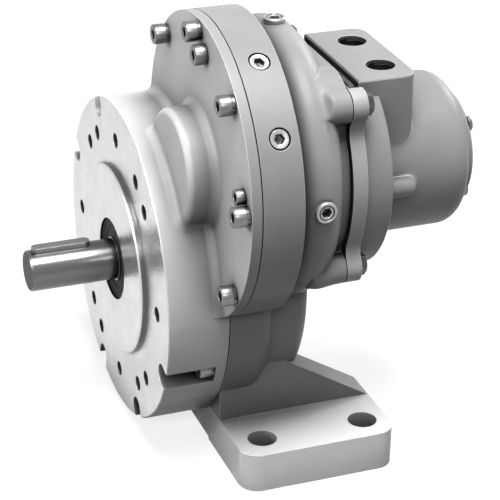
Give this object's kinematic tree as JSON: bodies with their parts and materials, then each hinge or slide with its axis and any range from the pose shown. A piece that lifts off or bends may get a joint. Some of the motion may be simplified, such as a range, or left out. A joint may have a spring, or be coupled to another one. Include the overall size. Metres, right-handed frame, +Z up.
{
  "type": "geared air vane motor",
  "caption": "Air vane motor on a reduction gear: round mounting flange with keyed shaft, gear case with foot, and motor barrel with air ports on top.",
  "frame": {"origin": "centre of the front mounting face, on the output shaft's axis", "axes": "+Y along the shafts from the output end to the motor, +Z up from the foot, +X to the right as seen from the output end"},
  "size_m": [0.3055, 0.2756, 0.302],
  "materials": {
    "casting": "bead blasted",
    "gasket": "dull",
    "seal": "satin",
    "screw_steel": "zinc plated",
    "plug_steel": "plated",
    "shaft_steel": "ground",
    "bearing_steel": "polished",
    "gear_steel": "hobbed",
    "liner_iron": "ground",
    "rotor_iron": "turned",
    "vane_laminate": "dull"
  },
  "bodies": {
    "housing": {"adapter_plate": "casting", "adapter_screws": "screw_steel", "carrier_bearing_outer_race": "bearing_steel", "case_gasket": "gasket", "channel_screws": "screw_steel", "channel_washers": "screw_steel", "cylinder_liner": "liner_iron", "end_cap": "casting", "end_cap_screws": "screw_steel", "front_end_plate": "liner_iron", "front_housing": "casting", "gear_case": "casting", "locking_screw": "screw_steel", "motor_gasket": "gasket", "motor_housing": "casting", "motor_screws": "screw_steel", "motor_seal": "seal", "neck_gasket": "gasket", "output_bearing_outer_race": "bearing_steel", "pinion_bearing_outer_race": "bearing_steel", "plate_screws": "screw_steel", "plate_washers": "screw_steel", "rear_end_plate": "liner_iron", "rim_plugs": "plug_steel", "ring_gear": "gear_steel", "rotor_bearing_outer_race": "bearing_steel", "shaft_seal": "seal", "shoulder_plugs": "plug_steel", "vent_plug": "plug_steel"},
    "output": {"output_bearing_balls": "bearing_steel", "output_bearing_inner_race": "bearing_steel", "output_shaft": "shaft_steel", "output_wheel": "gear_steel", "shaft_key": "screw_steel", "wheel_key": "screw_steel"},
    "carrier": {"carrier_bearing_balls": "bearing_steel", "carrier_bearing_inner_race": "bearing_steel", "pinion_bearing_balls": "bearing_steel", "pinion_bearing_inner_race": "bearing_steel", "pinion_shaft": "gear_steel", "planet_carrier": "gear_steel", "planet_pins": "bearing_steel"},
    "planet_1": {"planet_gear_1": "gear_steel"},
    "planet_2": {"planet_gear_2": "gear_steel"},
    "planet_3": {"planet_gear_3": "gear_steel"},
    "rotor": {"rotor": "rotor_iron", "rotor_bearing_balls": "bearing_steel", "rotor_bearing_inner_race": "bearing_steel", "sun_gear": "gear_steel", "vanes": "vane_laminate"}
  },
  "joints": [
    {"name": "output_spin", "type": "hinge", "parent": "housing", "child": "output", "pos_m": [0, 0, 0], "axis": [0, 1, 0], "continuous": true},
    {"name": "carrier_spin", "type": "hinge", "parent": "housing", "child": "carrier", "pos_m": [0.06686, 0, 0.09203], "axis": [0, 1, 0], "continuous": true},
    {"name": "rotor_spin", "type": "hinge", "parent": "housing", "child": "rotor", "pos_m": [0.06686, 0, 0.09203], "axis": [0, 1, 0], "continuous": true},
    {"name": "planet_1_spin", "type": "hinge", "parent": "carrier", "child": "planet_1", "pos_m": [0.06686, 0.085, 0.13703], "axis": [0, 1, 0], "continuous": true},
    {"name": "planet_2_spin", "type": "hinge", "parent": "carrier", "child": "planet_2", "pos_m": [0.02789, 0.085, 0.06953], "axis": [0, 1, 0], "continuous": true},
    {"name": "planet_3_spin", "type": "hinge", "parent": "carrier", "child": "planet_3", "pos_m": [0.10583, 0.085, 0.06953], "axis": [0, 1, 0], "continuous": true}
  ],
  "couplings": [
    {"joint": "carrier_spin", "follows": "output_spin", "ratio": -2.8235},
    {"joint": "rotor_spin", "follows": "output_spin", "ratio": -11.294},
    {"joint": "planet_1_spin", "follows": "output_spin", "ratio": 8.4706},
    {"joint": "planet_2_spin", "follows": "output_spin", "ratio": 8.4706},
    {"joint": "planet_3_spin", "follows": "output_spin", "ratio": 8.4706}
  ]
}
